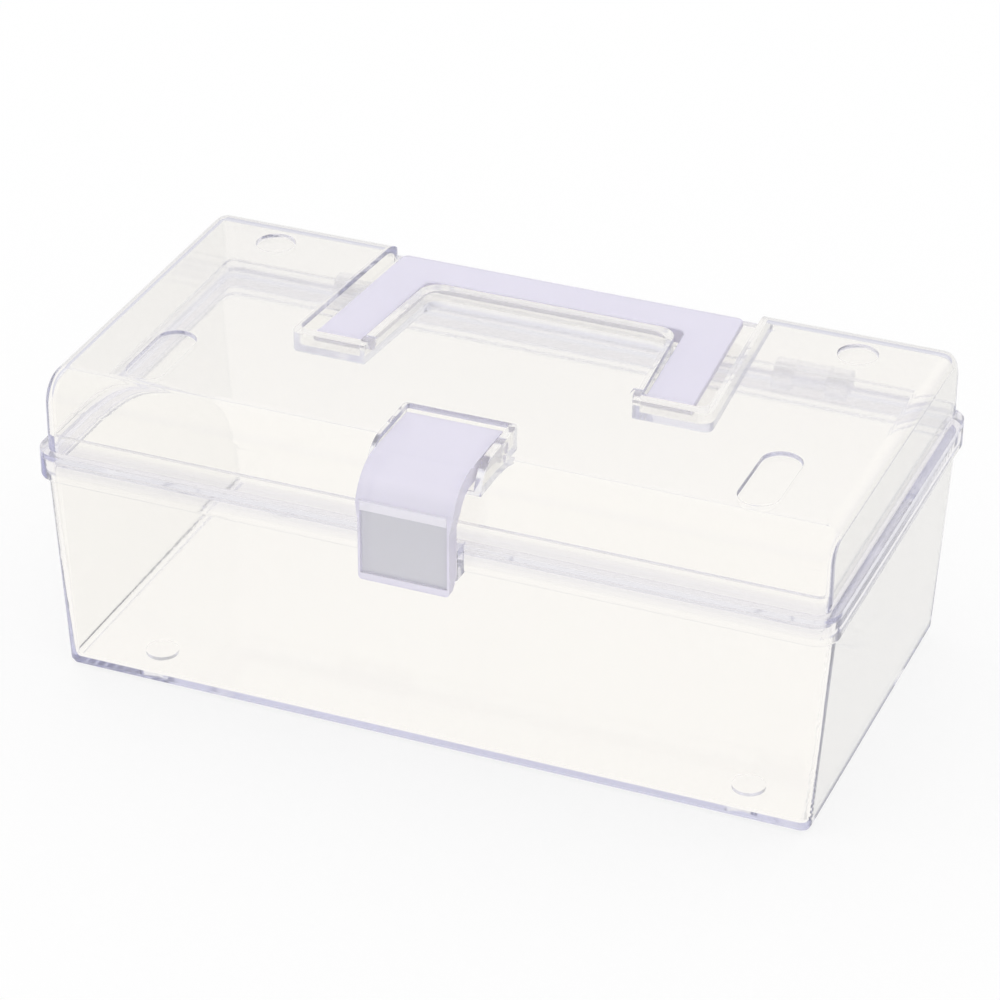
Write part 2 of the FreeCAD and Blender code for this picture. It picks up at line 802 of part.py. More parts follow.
def build_rod(name, centre_x, y, z, radius, length):
    """A round rod along X, centred on an X place: a bore tool or a pin."""
    body = new_body(name)
    ring = circles(body, f"{name}Circle", "YZ_Plane", centre_x, [(y, z)], radius)
    extrude(body, "Pad", f"{name}Rod", ring, length, midplane=True)
    return body


def build_lid():
    """The lid: shell, handle channel, latch pocket, stacking seats and hinge barrels."""
    block = build_lid_block()
    shell = cut("LidShell", block, build_lid_hollow())
    wall = "Sizes.trayWall"
    none = "0 * Sizes.trayWall"
    under_top = f"({LID_TOP} - Sizes.markDepth / 2)"
    above = f"({LID_TOP} + Sizes.channelDepth)"
    tray = build_channel(
        "ChannelTray",
        wall,
        f"({CHANNEL_FLOOR} - {wall})",
        under_top,
        f"{LID_SIDE} - Sizes.lidWall / 2",
    )
    well = build_pocket("PocketTray", wall, f"({POCKET_FLOOR} - {wall})", under_top)
    trays = joined("MultiFuse", "Trays", [tray, well])
    inside = joined("MultiCommon", "TraysInLid", [trays, block])
    channel = build_channel(
        "Channel", none, CHANNEL_FLOOR, above, f"{LID_SIDE} + Sizes.gripBackInset"
    )
    pocket = build_pocket("Pocket", none, POCKET_FLOOR, above)
    bores = []
    for side, sign in SIDES.items():
        bores.append(
            build_rod(
                f"ArmBore{side.title()}",
                f"{sign}({CHANNEL_INNER_FRONT} - {wall} / 2)",
                ARM_PIVOT_Y,
                ARM_PIVOT_Z,
                "Sizes.armPinRadius + Sizes.pivotClearance",
                f"3 * {wall}",
            )
        )
        bores.append(
            build_rod(
                f"LatchBore{side.title()}",
                f"{sign}({POCKET_WIDTH} / 2 + {wall} / 2)",
                LATCH_PIVOT_Y,
                LATCH_PIVOT_Z,
                "Sizes.latchPinRadius + Sizes.pivotClearance",
                f"2 * {wall}",
            )
        )
    barrels = []
    for side, sign in SIDES.items():
        centre = f"{sign}Sizes.hingeSpacing / 2"
        body = new_body(f"LidBarrel{side.title()}")
        add_barrel(body, f"LidBarrel{side.title()}", centre, "Sizes.lidBarrel", upper_web())
        barrels.append(body)
        bores.append(
            build_rod(
                f"LidBore{side.title()}",
                centre,
                HINGE_Y,
                PARTING,
                "Sizes.pinRadius + Sizes.pivotClearance",
                "2 * Sizes.lidBarrel",
            )
        )
    solid = joined("MultiFuse", "LidSolid", [shell, inside] + barrels)
    tools = joined("MultiFuse", "LidTools", [channel, pocket, build_marks()] + bores)
    lid = cut("LidCut", solid, tools)
    lid.Label = "lid"
    return lid


# Handle

def build_handle():
    """The U-shaped handle: a flat plate with a rib down its inner edge and two pivot bars."""
    body = new_body("HandleBody")
    outer_back = "(Sizes.gripWidth / 2)"
    outer_front = "(Sizes.gripOuterFront / 2)"
    inner_back = "(Sizes.gripInnerBack / 2)"
    inner_front = "(Sizes.gripInnerFront / 2)"
    rib = "Sizes.gripRib"
    plate = polygon(
        body,
        "PlateOutline",
        "XY_Plane",
        f"{GRIP_TOP} - Sizes.gripPlate",
        [
            (f"0 - {outer_back}", GRIP_BACK),
            (f"0 - {outer_front}", ARM_PIVOT_Y),
            (f"0 - {inner_front}", ARM_PIVOT_Y),
            (f"0 - {inner_back}", GRIP_FRONT),
            (inner_back, GRIP_FRONT),
            (inner_front, ARM_PIVOT_Y),
            (outer_front, ARM_PIVOT_Y),
            (outer_back, GRIP_BACK),
        ],
    )
    extrude(body, "Pad", "Plate", plate, "Sizes.gripPlate")
    dress(
        body,
        "Fillet",
        "GripBackCorners",
        "Sizes.gripCornerRound",
        lambda edge: is_straight(edge, "z")
        and middle(edge).y > 0
        and close_to(abs(middle(edge).x), DRIVING_SIZES["gripWidth"] / 2),
    )
    ribs = polygon(
        body,
        "RibOutline",
        "XY_Plane",
        f"{GRIP_TOP} - Sizes.gripRibDepth",
        [
            (f"0 - {inner_back} - {rib}", f"{GRIP_FRONT} + {rib}"),
            (f"0 - {inner_front} - {rib}", ARM_PIVOT_Y),
            (f"0 - {inner_front}", ARM_PIVOT_Y),
            (f"0 - {inner_back}", GRIP_FRONT),
            (inner_back, GRIP_FRONT),
            (inner_front, ARM_PIVOT_Y),
            (f"{inner_front} + {rib}", ARM_PIVOT_Y),
            (f"{inner_back} + {rib}", f"{GRIP_FRONT} + {rib}"),
        ],
    )
    extrude(body, "Pad", "InnerRib", ribs, "Sizes.gripRibDepth - Sizes.gripPlate / 2")
    grip_front = reading(GRIP_FRONT)
    dress(
        body,
        "Fillet",
        "GripInnerCorners",
        "Sizes.gripInnerRound",
        lambda edge: is_straight(edge, "z") and close_to(middle(edge).y, grip_front),
    )
    top = reading(GRIP_TOP)
    pivot_y = reading(ARM_PIVOT_Y)
    dress(
        body,
        "Fillet",
        "GripTopEdge",
        "Sizes.gripEdgeRound",
        lambda edge: close_to(middle(edge).z, top)
        and middle(edge).y > pivot_y + 1,
    )
    for side, sign in SIDES.items():
        bar = circles(
            body,
            f"BarCircle{side.title()}",
            "YZ_Plane",
            f"{sign}(Sizes.gripOuterFront + Sizes.gripInnerFront) / 4",
            [(ARM_PIVOT_Y, ARM_PIVOT_Z)],
            "Sizes.armBarRadius",
        )
        extrude(
            body,
            "Pad",
            f"ArmBar{side.title()}",
            bar,
            "(Sizes.gripOuterFront - Sizes.gripInnerFront) / 2",
            midplane=True,
        )
        pin = circles(
            body,
            f"PinCircle{side.title()}",
            "YZ_Plane",
            f"{sign}Sizes.gripInnerFront / 2",
            [(ARM_PIVOT_Y, ARM_PIVOT_Z)],
            "Sizes.armPinRadius",
        )
        extrude(
            body,
            "Pad",
            f"ArmPin{side.title()}",
            pin,
            "2 * Sizes.armPinLength",
            midplane=True,
        )
    body.Label = "handle"
    return body


# Latch

def build_latch():
    """The front latch: a bent plate with side flanges, pivot pins and a finger ridge."""
    shell = cut("LatchShell", build_latch_block(), build_latch_space())
    sunk = cut("LatchSunk", shell, build_latch_panel())
    latch = joined("MultiFuse", "LatchJoined", [sunk, build_latch_fittings()])
    latch.Label = "latch"
    return latch


def build_latch_block():
    """The latch as a full block: its side profile, narrowed towards the foot."""
    body = new_body("LatchBlock")
    flange_low = f"{LATCH_TOP} - Sizes.latchFlange"
    profile = polygon(
        body,
        "LatchProfile",
        "YZ_Plane",
        "0 * Sizes.latchWidth",
        [
            (LATCH_BACK, LATCH_TOP),
            (LATCH_FACE, LATCH_TOP),
            (LATCH_FACE, LATCH_FOOT),
            (f"{LATCH_FACE} + Sizes.latchLip", LATCH_FOOT),
            (LATCH_INNER, f"{LATCH_FOOT} + Sizes.latchBevel"),
            (LATCH_INNER, flange_low),
            (f"{LATCH_PIVOT_Y} + Sizes.latchLip", flange_low),
            (f"{LATCH_PIVOT_Y} + Sizes.latchLip", f"{LATCH_TOP} - Sizes.latchPlate"),
            (LATCH_BACK, f"{LATCH_TOP} - Sizes.latchPlate"),
        ],
    )
    extrude(body, "Pad", "LatchPad", profile, "Sizes.latchWidth", midplane=True)
    bend(body, "OuterBend", LATCH_FACE, LATCH_TOP, "Sizes.latchBend")
    bend(body, "FlangeBend", LATCH_INNER, flange_low, "Sizes.latchBend - Sizes.latchFlange")
    for side, sign in SIDES.items():
        taper = polygon(
            body,
            f"TaperOutline{side.title()}",
            "XZ_Plane",
            "0 * Sizes.latchWidth",
            [
                (f"{sign}Sizes.latchWidth / 2", f"{PARTING} + Sizes.latchShoulderRise"),
                (f"{sign}{LATCH_LOWER_WIDTH} / 2", f"{PARTING} + Sizes.latchWaistRise"),
                (f"{sign}{LATCH_LOWER_WIDTH} / 2", f"{LATCH_FOOT} - Sizes.latchPlate"),
                (f"{sign}Sizes.latchWidth", f"{LATCH_FOOT} - Sizes.latchPlate"),
                (f"{sign}Sizes.latchWidth", f"{PARTING} + Sizes.latchShoulderRise"),
            ],
        )
        extrude(
            body, "Pocket", f"Taper{side.title()}", taper, "2 * Sizes.rimWidth", midplane=True
        )
    foot = reading(LATCH_FOOT)
    dress(
        body,
        "Fillet",
        "LatchFootCorners",
        "Sizes.latchSide / 2",
        lambda edge: is_straight(edge, "y") and close_to(middle(edge).z, foot),
    )
    return body


def bend(body, name, y, z, radius):
    """Round the edge along X at y and z, both expressions."""
    at_y = reading(y)
    at_z = reading(z)
    dress(
        body,
        "Fillet",
        name,
        radius,
        lambda edge: is_straight(edge, "x")
        and close_to(middle(edge).y, at_y)
        and close_to(middle(edge).z, at_z),
    )


def build_latch_space():
    """The space between the latch's plate and its two side flanges."""
    body = new_body("LatchSpace")
    plate_low = f"{LATCH_TOP} - Sizes.latchPlate"
    plate_back = f"{LATCH_FACE} + Sizes.latchPlate"
    foot = f"{LATCH_FOOT} + Sizes.latchPlate"
    clear_y = f"{LATCH_INNER} + Sizes.latchFlange"
    clear_z = f"{LATCH_TOP} - 2 * Sizes.latchFlange"
    profile = polygon(
        body,
        "SpaceProfile",
        "YZ_Plane",
        "0 * Sizes.latchWidth",
        [
            (f"{LATCH_BACK} + Sizes.pocketBackGap", plate_low),
            (plate_back, plate_low),
            (plate_back, foot),
            (clear_y, foot),
            (clear_y, clear_z),
            (f"{LATCH_BACK} + Sizes.pocketBackGap", clear_z),
        ],
    )
    width = "Sizes.latchWidth - 2 * Sizes.latchSide"
    extrude(body, "Pad", "SpacePad", profile, width, midplane=True)
    bend(body, "InnerBend", plate_back, plate_low, "Sizes.latchBend - Sizes.latchPlate")
    return body


def build_latch_panel():
    """The shallow sunk panel in the latch's face, below the finger ridge."""
    body = new_body("LatchPanel")
    corners = panel_corners(PANEL_BOTTOM, f"{PANEL_BOTTOM} + Sizes.panelHeight")
    outline = polygon(
        body, "PanelOutline", "XZ_Plane", f"0 - ({LATCH_FACE}) + Sizes.panelDepth", corners
    )
    extrude(body, "Pad", "PanelPad", outline, "2 * Sizes.panelDepth", reverse=True)
    return body


def panel_corners(low, high):
    """A rectangle as wide as the latch's panel, between two heights, in X and Z."""
    return [
        (f"0 - {PANEL_WIDTH} / 2", low),
        (f"{PANEL_WIDTH} / 2", low),
        (f"{PANEL_WIDTH} / 2", high),
        (f"0 - {PANEL_WIDTH} / 2", high),
    ]


def build_latch_fittings():
    """The latch's finger ridge, and an ear and a pivot pin on each side."""
    body = new_body("LatchFittings")
    low = f"{PANEL_BOTTOM} + Sizes.panelHeight"
    ridge = polygon(
        body,
        "RidgeOutline",
        "XZ_Plane",
        f"0 - ({LATCH_FACE}) + Sizes.ridgeStand",
        panel_corners(low, f"{low} + Sizes.ridgeHeight"),
    )
    extrude(
        body, "Pad", "Ridge", ridge, "Sizes.latchPlate + Sizes.ridgeStand / 2", reverse=True
    )
    front = reading(f"{LATCH_FACE} - Sizes.ridgeStand")
    dress(
        body,
        "Fillet",
        "RidgeEdges",
        "Sizes.ridgeStand",
        lambda edge: close_to(edge.BoundBox.YMax, front),
    )
    place = [(LATCH_PIVOT_Y, LATCH_PIVOT_Z)]
    for side, sign in SIDES.items():
        name = side.title()
        ear_x = f"{sign}(Sizes.latchWidth / 2 - Sizes.latchSide / 2)"
        ear = circles(
            body, f"LatchEarCircle{name}", "YZ_Plane", ear_x, place, "Sizes.latchEarRadius"
        )
        extrude(body, "Pad", f"LatchEar{name}", ear, "Sizes.latchSide", midplane=True)
        pin_x = f"{sign}Sizes.latchWidth / 2"
        pin = circles(
            body, f"LatchPinCircle{name}", "YZ_Plane", pin_x, place, "Sizes.latchPinRadius"
        )
        length = "2 * (Sizes.latchPinLength - Sizes.pivotClearance)"
        extrude(body, "Pad", f"LatchPin{name}", pin, length, midplane=True)
    return body


# Hinge pins

def build_hinge_pin(side, sign):
    """A plain rod with chamfered ends, held in the tub's ears."""
    body = build_rod(
        f"HingePin{side.title()}",
        f"{sign}Sizes.hingeSpacing / 2",
        HINGE_Y,
        PARTING,
        "Sizes.pinRadius",
        f"2 * ({BARREL_REACH} + Sizes.tubBarrel)",
    )
    dress(body, "Chamfer", f"PinEnds{side.title()}", "Sizes.pinChamfer", lambda edge: edge.Closed)
    body.Label = f"hinge_pin_{side}"
    return body


# Build, check and write

sub_parts = [build_tub(), build_lid(), build_handle(), build_latch()]
sub_parts += [build_hinge_pin(side, sign) for side, sign in SIDES.items()]
doc.recompute()

for item in doc.Objects:
    if "Invalid" in item.State or "Error" in item.State:
        raise RuntimeError(f"{item.Label} failed: {item.State}")

for part in sub_parts:
    shape = part.Shape
    if shape.isNull() or not shape.isValid() or len(shape.Solids) != 1:
        raise RuntimeError(f"{part.Label} isn't one valid solid")

for part in sub_parts:
    part.Shape.exportStep(f"parts/{part.Label}.step")
    box = part.Shape.BoundBox
    print(
        f"{part.Label}: {part.Shape.Volume:.1f} mm3, "
        f"X {box.XMin:.2f} to {box.XMax:.2f}, Y {box.YMin:.2f} to {box.YMax:.2f}, "
        f"Z {box.ZMin:.2f} to {box.ZMax:.2f}"
    )
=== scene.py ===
"""Looks of a clear storage box with a hinged lid, a folding handle and a front latch.

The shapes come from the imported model. This script dresses them as clear and lilac-tinted
moulded plastic, adds the floor, the light and the camera, and reports each piece.
"""

import logging
import math
from dataclasses import dataclass, replace
from enum import Enum

import bpy
from mathutils import Matrix, Vector


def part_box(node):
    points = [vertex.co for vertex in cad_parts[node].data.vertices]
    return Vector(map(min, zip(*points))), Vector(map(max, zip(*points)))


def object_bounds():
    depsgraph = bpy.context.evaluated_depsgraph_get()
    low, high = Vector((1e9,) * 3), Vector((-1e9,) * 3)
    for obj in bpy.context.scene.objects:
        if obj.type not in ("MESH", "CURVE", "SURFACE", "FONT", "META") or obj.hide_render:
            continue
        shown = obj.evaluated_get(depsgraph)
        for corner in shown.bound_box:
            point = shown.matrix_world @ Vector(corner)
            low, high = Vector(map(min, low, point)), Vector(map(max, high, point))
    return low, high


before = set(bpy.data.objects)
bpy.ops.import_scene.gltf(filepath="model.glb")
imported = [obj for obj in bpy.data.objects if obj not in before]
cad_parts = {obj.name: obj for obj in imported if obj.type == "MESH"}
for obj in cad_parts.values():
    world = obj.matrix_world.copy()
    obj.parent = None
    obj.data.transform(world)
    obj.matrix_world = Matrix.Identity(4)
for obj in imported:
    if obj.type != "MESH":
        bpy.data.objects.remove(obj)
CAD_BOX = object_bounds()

log = logging.getLogger("storage_box")

MOST_BOUNCES = 64
MATH = "ShaderNodeMath"
VECTOR_MATH = "ShaderNodeVectorMath"

Colour = tuple[float, float, float, float]
Place = tuple[float, float, float]
Span = tuple[float, float]
Node = bpy.types.ShaderNode
Socket = bpy.types.NodeSocket
Tree = bpy.types.NodeTree

WHITE: Colour = (1.0, 1.0, 1.0, 1.0)


class Shade(Enum):
    """Named base colours, as linear values: the plastics' own colours, painted shades and a
    painted highlight.
    """

    CLEAR = (0.87, 0.865, 0.855, 1.0)
    # painted shade: the grey that clear plastic shows where it is seen at a slant
    SLANT_SHADE = (0.60, 0.605, 0.595, 1.0)
    # painted shade: grey on the band where the lid's flange lies on the tub's rim
    RIM_SHADE = (0.78, 0.775, 0.80, 1.0)
    LILAC = (0.93, 0.905, 1.0, 1.0)
    # painted shade: the latch's bent face, darker as it turns down from the top
    BEND_SHADE = (0.88, 0.86, 0.95, 1.0)
    # painted shade: the latch's sunk panel
    PANEL_SHADE = (0.74, 0.74, 0.77, 1.0)
    # painted highlight: the ridge above the latch's panel
    RIDGE_HIGHLIGHT = (0.97, 0.955, 1.0, 1.0)


class Ray(Enum):
    """Kinds of ray, by the names of the Light Path node's outputs."""

    CAMERA = "Is Camera Ray"
    DIFFUSE = "Is Diffuse Ray"
    GLOSSY = "Is Glossy Ray"
    SHADOW = "Is Shadow Ray"
    TRANSMISSION = "Is Transmission Ray"


def feed(tree: Tree, value: Socket | Colour | float, target: Socket) -> None:
    """Join an output socket to an input, or set a plain value on it.

    Args:
        tree: the tree that both are in.
        value: the output socket, or the plain value.
        target: the input socket.
    """
    if isinstance(value, Socket):
        tree.links.new(value, target)
    else:
        target.default_value = value


def calculate(tree: Tree, kind: str, operation: str, *values: Socket | float) -> Socket:
    """Add a Math or Vector Math node.

    Args:
        tree: the tree that the node goes into.
        kind: the node's type.
        operation: what the node works out.
        values: what goes into its inputs, in order.

    Returns:
        The socket with the result.
    """
    node = tree.nodes.new(kind)
    node.operation = operation
    for value, target in zip(values, node.inputs):
        feed(tree, value, target)
    return node.outputs[0]


def mix_colours(tree: Tree, share: Socket, first: Socket | Colour, second: Colour) -> Socket:
    """Mix two colours.

    Args:
        tree: the tree that the node goes into.
        share: the second colour's share.
        first: the first colour.
        second: the second colour.

    Returns:
        The socket with the mixed colour.
    """
    mix = tree.nodes.new("ShaderNodeMix")
    mix.data_type = "RGBA"
    feed(tree, share, mix.inputs["Factor"])
    feed(tree, first, mix.inputs["A"])
    feed(tree, second, mix.inputs["B"])
    return mix.outputs["Result"]


def mix_shaders(tree: Tree, share: Socket, first: Socket, second: Socket) -> Socket:
    """Mix two shaders.

    Args:
        tree: the tree that the node goes into.
        share: the second shader's share.
        first: the first shader.
        second: the second shader.

    Returns:
        The socket with the mixed shader.
    """
    mix = tree.nodes.new("ShaderNodeMixShader")
    for value, target in zip((share, first, second), mix.inputs):
        feed(tree, value, target)
    return mix.outputs["Shader"]


def new_material(name: str) -> tuple[bpy.types.Material, Tree, Node, Node]:
    """Make a material that holds a Principled node and an output node, not yet joined.

    Args:
        name: the material's name.

    Returns:
        The material, its tree, its Principled node and its output node.
    """
    material = bpy.data.materials.new(name)
    material.use_nodes = True
    tree = material.node_tree
    tree.nodes.clear()
    output = tree.nodes.new("ShaderNodeOutputMaterial")
    principled = tree.nodes.new("ShaderNodeBsdfPrincipled")
    return material, tree, principled, output


def haze_group(
    flow_detail: float = 3.0, grain_detail: float = 2.0, grain_scale: float = 900.0
) -> Tree:
    """Build the group for the faint flow marks and the fine grain of moulded plastic.

    In object coordinates, broad noise times Spread, plus Base, gives the roughness, and
    fine noise gives the height.

    Args:
        flow_detail: the octaves of the broad noise.
        grain_detail: the octaves of the fine noise.
        grain_scale: the scale of the fine noise.

    Returns:
        The group, with inputs Scale, Base and Spread and outputs Roughness and Height.
    """
    group = bpy.data.node_groups.new("moulded_haze", "ShaderNodeTree")
    for name in ("Scale", "Base", "Spread"):
        group.interface.new_socket(name, in_out="INPUT", socket_type="NodeSocketFloat")
    for name in ("Roughness", "Height"):
        group.interface.new_socket(name, in_out="OUTPUT", socket_type="NodeSocketFloat")
    entry = group.nodes.new("NodeGroupInput").outputs
    leave = group.nodes.new("NodeGroupOutput").inputs
    place = group.nodes.new("ShaderNodeTexCoord").outputs["Object"]
    flow = group.nodes.new("ShaderNodeTexNoise")
    feed(group, place, flow.inputs["Vector"])
    feed(group, entry["Scale"], flow.inputs["Scale"])
    feed(group, flow_detail, flow.inputs["Detail"])
    grain = group.nodes.new("ShaderNodeTexNoise")
    feed(group, place, grain.inputs["Vector"])
    feed(group, grain_scale, grain.inputs["Scale"])
    feed(group, grain_detail, grain.inputs["Detail"])
    marks = flow.outputs["Fac"]
    roughness = calculate(group, MATH, "MULTIPLY_ADD", marks, entry["Spread"], entry["Base"])
    feed(group, roughness, leave["Roughness"])
    feed(group, grain.outputs["Fac"], leave["Height"])
    return group


def box_group() -> Tree:
    """Build the group for a mask that is one inside a box and fades to nothing around it.

    In object coordinates, the larger of Low less the point and the point less High says how
    far the point lies outside the box along each axis. The largest of the three, divided by
    Soft and taken from one, is the mask.

    Returns:
        The group, with inputs Low, High and Soft and output Mask.
    """
    group = bpy.data.node_groups.new("box_mask", "ShaderNodeTree")
    for name in ("Low", "High"):
        group.interface.new_socket(name, in_out="INPUT", socket_type="NodeSocketVector")
    group.interface.new_socket("Soft", in_out="INPUT", socket_type="NodeSocketFloat")
    group.interface.new_socket("Mask", in_out="OUTPUT", socket_type="NodeSocketFloat")
    entry = group.nodes.new("NodeGroupInput").outputs
    leave = group.nodes.new("NodeGroupOutput").inputs
    place = group.nodes.new("ShaderNodeTexCoord").outputs["Object"]
    under = calculate(group, VECTOR_MATH, "SUBTRACT", entry["Low"], place)
    over = calculate(group, VECTOR_MATH, "SUBTRACT", place, entry["High"])
    axes = group.nodes.new("ShaderNodeSeparateXYZ")
    feed(group, calculate(group, VECTOR_MATH, "MAXIMUM", under, over), axes.inputs["Vector"])
    level = calculate(group, MATH, "MAXIMUM", axes.outputs["X"], axes.outputs["Y"])
    furthest = calculate(group, MATH, "MAXIMUM", level, axes.outputs["Z"])
    faded = calculate(group, MATH, "DIVIDE", furthest, entry["Soft"])
    mask = calculate(group, MATH, "SUBTRACT", 1.0, faded)
    mask.node.use_clamp = True
    feed(group, mask, leave["Mask"])
    return group


@dataclass(frozen=True)
class Groups:
    """The node groups that the plastics share."""

    haze: Tree
    box: Tree


@dataclass(frozen=True)
class Patch:
    """A box in object coordinates, in metres, where a plastic shows another shade; the patches
    here paint shade and highlights.
    """

    shade: Shade
    low: Place
    high: Place
    soft: float

    def mask(self, tree: Tree, box: Tree) -> Socket:
        """Add the mask that is one inside this box.

        Args:
            tree: the material's tree.
            box: the shared group for a mask in a box.

        Returns:
            The socket with the mask.
        """
        group = tree.nodes.new("ShaderNodeGroup")
        group.node_tree = box
        group.inputs["Low"].default_value = self.low
        group.inputs["High"].default_value = self.high
        group.inputs["Soft"].default_value = self.soft
        return group.outputs["Mask"]


@dataclass(frozen=True)
class MouldedPlastic:
    """A moulded plastic, from clear to milky, with lengths in metres.

    The painted glow is painted light, an even emission on the faces that point outwards, for the
    milky look of clear plastic in soft light. The depth colour is what thick plastic turns light
    into. The slant shade is painted shade, greyer where the surface turns away from the view, and
    the patches lay painted shade and highlights over parts.
    """

    name: str
    shade: Shade
    transmission: float
    roughness: float
    roughness_spread: float
    bump: float
    bump_height: float = 0.0001
    haze_scale: float = 35.0
    ior: float = 1.49
    shadow: Colour = (0.97, 0.965, 0.97, 1.0)
    depth_colour: Colour = (0.77, 0.775, 0.93, 1.0)
    depth_density: float = 9.0
    painted_glow: float = 0.0
    painted_glow_colour: Colour = (0.99, 0.985, 0.94, 1.0)
    slant_shade: Shade | None = None
    slant_range: Span = (0.47, 0.70)
    patches: tuple[Patch, ...] = ()

    def material(self, groups: Groups) -> bpy.types.Material:
        """Build the material.

        Args:
            groups: the shared node groups.

        Returns:
            The finished material.
        """
        material, tree, principled, output = new_material(self.name)
        feed(tree, self.base_colour(tree, groups.box), principled.inputs["Base Color"])
        feed(tree, self.transmission, principled.inputs["Transmission Weight"])
        feed(tree, 0.0, principled.inputs["Metallic"])
        feed(tree, self.ior, principled.inputs["IOR"])
        self.add_haze(tree, principled, groups.haze)
        if self.painted_glow > 0.0:
            self.add_painted_glow(tree, principled)
        self.join_surface(tree, principled, output)
        self.add_depth(tree, output)
        return material

    def base_colour(self, tree: Tree, box: Tree) -> Socket | Colour:
        """Work out the base colour: the plain shade, the painted slant shade and the patches over
        it.

        Args:
            tree: the material's tree.
            box: the shared group for a mask in a box.

        Returns:
            The socket with the colour, or the colour itself where it is the same all over.
        """
        colour: Socket | Colour = self.shade.value
        # painted shade: greyer where the surface turns away from the view
        if self.slant_shade is not None:
            colour = mix_colours(tree, self.slant(tree), colour, self.slant_shade.value)
        # patches of painted shade and highlight laid over parts
        for patch in self.patches:
            colour = mix_colours(tree, patch.mask(tree, box), colour, patch.shade.value)
        return colour

    def slant(self, tree: Tree) -> Socket:
        """Work out how much painted shade shows where the surface turns away from the view.

        Args:
            tree: the material's tree.

        Returns:
            The socket with the share, from nothing to one over the slant range.
        """
        weight = tree.nodes.new("ShaderNodeLayerWeight")
        share = tree.nodes.new("ShaderNodeMapRange")
        least, most = self.slant_range
        feed(tree, weight.outputs["Facing"], share.inputs["Value"])
        feed(tree, least, share.inputs["From Min"])
        feed(tree, most, share.inputs["From Max"])
        return share.outputs["Result"]

    def add_haze(self, tree: Tree, principled: Node, haze: Tree) -> None:
        """Add the flow marks to the roughness and the grain to the normal.

        Args:
            tree: the material's tree.
            principled: the node that takes them.
            haze: the shared haze group.
        """
        group = tree.nodes.new("ShaderNodeGroup")
        group.node_tree = haze
        feed(tree, self.haze_scale, group.inputs["Scale"])
        feed(tree, self.roughness, group.inputs["Base"])
        feed(tree, self.roughness_spread, group.inputs["Spread"])
        bump = tree.nodes.new("ShaderNodeBump")
        feed(tree, self.bump, bump.inputs["Strength"])
        feed(tree, self.bump_height, bump.inputs["Distance"])
        feed(tree, group.outputs["Height"], bump.inputs["Height"])
        feed(tree, group.outputs["Roughness"], principled.inputs["Roughness"])
        feed(tree, bump.outputs["Normal"], principled.inputs["Normal"])

    def add_painted_glow(self, tree: Tree, principled: Node) -> None:
        """Add the painted glow, an emission that is nothing on faces that are seen from behind.

        Args:
            tree: the material's tree.
            principled: the node that takes it.
        """
        # painted light: an emission on outward faces that stands in for light scattered in milky
        # plastic
        side = tree.nodes.new("ShaderNodeNewGeometry")
        behind = side.outputs["Backfacing"]
        strength = calculate(tree, MATH, "MULTIPLY_ADD", behind, -self.painted_glow, self.painted_glow)
        feed(tree, strength, principled.inputs["Emission Strength"])
        feed(tree, self.painted_glow_colour, principled.inputs["Emission Color"])

    def join_surface(self, tree: Tree, principled: Node, output: Node) -> None:
        """Join the surface, with a Transparent shader for shadow rays, so that light gets through.

        Args:
            tree: the material's tree.
            principled: the node that every other ray sees.
            output: the material's output node.
        """
        path = tree.nodes.new("ShaderNodeLightPath")
        clear = tree.nodes.new("ShaderNodeBsdfTransparent")
        feed(tree, self.shadow, clear.inputs["Color"])
        seen = principled.outputs["BSDF"]
        mixed = mix_shaders(tree, path.outputs[Ray.SHADOW.value], seen, clear.outputs["BSDF"])
        feed(tree, mixed, output.inputs["Surface"])

    def add_depth(self, tree: Tree, output: Node) -> None:
        """Add the colour that light takes on inside thick plastic.

        Args:
            tree: the material's tree.
            output: the material's output node.
        """
        depth = tree.nodes.new("ShaderNodeVolumeAbsorption")
        feed(tree, self.depth_colour, depth.inputs["Color"])
        feed(tree, self.depth_density, depth.inputs["Density"])
        feed(tree, depth.outputs["Volume"], output.inputs["Volume"])


CLEAR_PLASTIC = MouldedPlastic(
    "clear_plastic",
    Shade.CLEAR,
    transmission=1.0,
    roughness=0.03,
    roughness_spread=0.03,
    bump=0.05,
    # painted light and shade: a weak glow on outward faces and grey at a slant
    painted_glow=0.115,
    slant_shade=Shade.SLANT_SHADE,
)
TINTED_PLASTIC = MouldedPlastic(
    "tinted_plastic",
    Shade.LILAC,
    transmission=0.3,
    roughness=0.2,
    roughness_spread=0.1,
    bump=0.1,
)


def dress_nodes(nodes: tuple[str, ...], material: bpy.types.Material) -> None:
    """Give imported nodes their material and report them.

    Args:
        nodes: the nodes' names.
        material: the material that they take.
    """
    for node in nodes:
        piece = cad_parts[node]
        piece.data.materials.clear()
        piece.data.materials.append(material)
        log.info("dressed %s as %s", node, material.name)


@dataclass
class ClearShells:
    """The tub, the lid and the hinge pins, clear, with painted shade greying the band around the
    rim.

    The rim's band runs all round, from rim_reach below to rim_reach above the plane where
    the lid rests on the tub. The hinge pins' middle lies in that plane. Metres.
    """

    nodes: tuple[str, ...] = ("tub", "lid", "hinge_pin_left", "hinge_pin_right")
    rim_reach: float = 0.0042
    rim_soft: float = 0.001

    def rim(self) -> Patch:
        """Place the rim's band of painted shade, as long and as deep as the whole box.

        Returns:
            The patch.
        """
        low, high = CAD_BOX
        pin_low, pin_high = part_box("hinge_pin_left")
        seat = (pin_low.z + pin_high.z) / 2.0
        # painted shade: a greyer band where the lid's flange lies on the tub's rim
        return Patch(
            Shade.RIM_SHADE,
            (low.x, low.y, seat - self.rim_reach),
            (high.x, high.y, seat + self.rim_reach),
            self.rim_soft,
        )

    def dress(self, groups: Groups) -> None:
        """Dress the shells and the pins."""
        plastic = replace(CLEAR_PLASTIC, patches=(self.rim(),))
        dress_nodes(self.nodes, plastic.material(groups))


@dataclass
class Handle:
    """The handle, tinted all over."""

    nodes: tuple[str, ...] = ("handle",)

    def dress(self, groups: Groups) -> None:
        """Dress the handle."""
        dress_nodes(self.nodes, TINTED_PLASTIC.material(groups))


